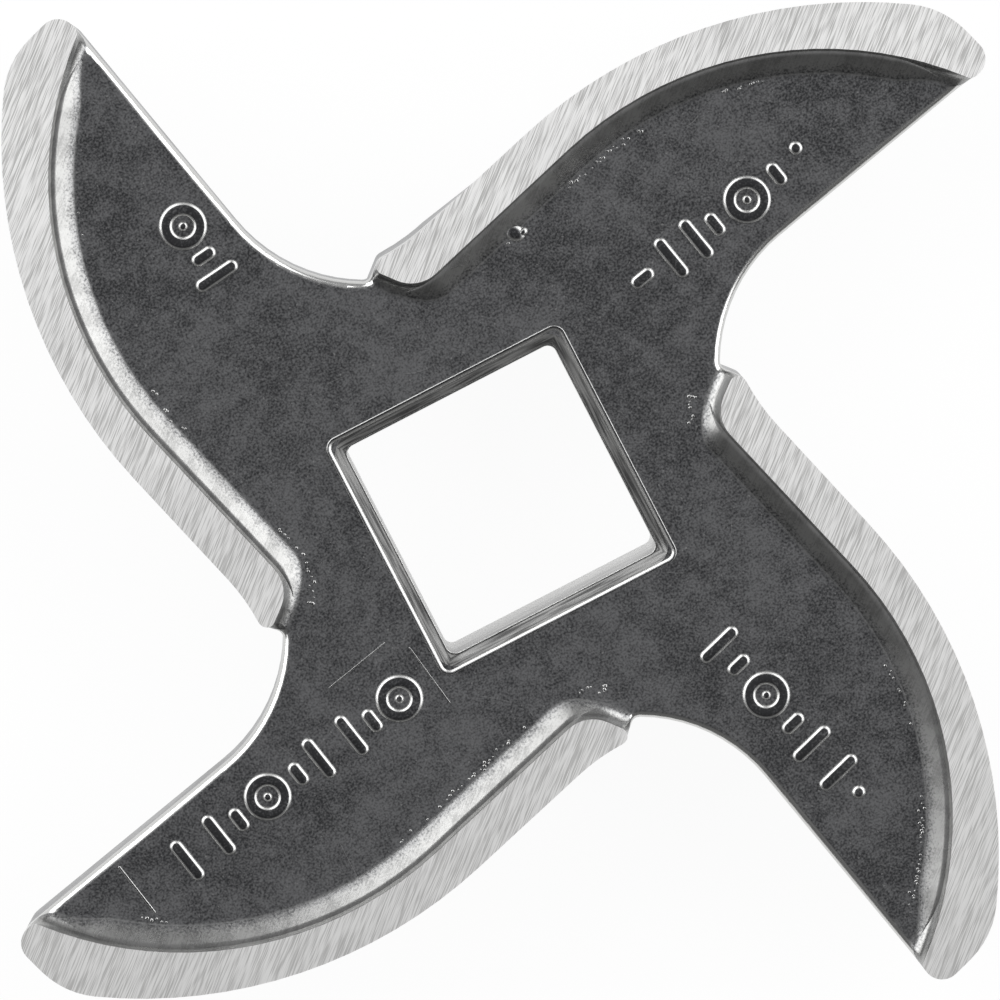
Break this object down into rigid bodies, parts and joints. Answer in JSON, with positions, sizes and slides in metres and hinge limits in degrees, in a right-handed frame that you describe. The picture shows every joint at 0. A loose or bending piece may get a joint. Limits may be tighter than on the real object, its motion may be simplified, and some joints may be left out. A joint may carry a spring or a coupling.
{
  "type": "meat grinder knife",
  "caption": "Cast steel grinder knife: curved arms with raised ground cutting edges about a square drive hole.",
  "frame": {"origin": "centre of the square drive hole, in the plane of the hub's back face", "axes": "+Z along the drive hole's axis towards the cutting lands; the hole's flats are square to X and Y, and one arm points along +X"},
  "size_m": [0.07, 0.07, 0.0096],
  "materials": {
    "cast_steel": "cast faces dark and tumbled smooth, cutting lands ground bright"
  },
  "bodies": {
    "root": {"knife": "cast_steel"}
  },
  "joints": []
}
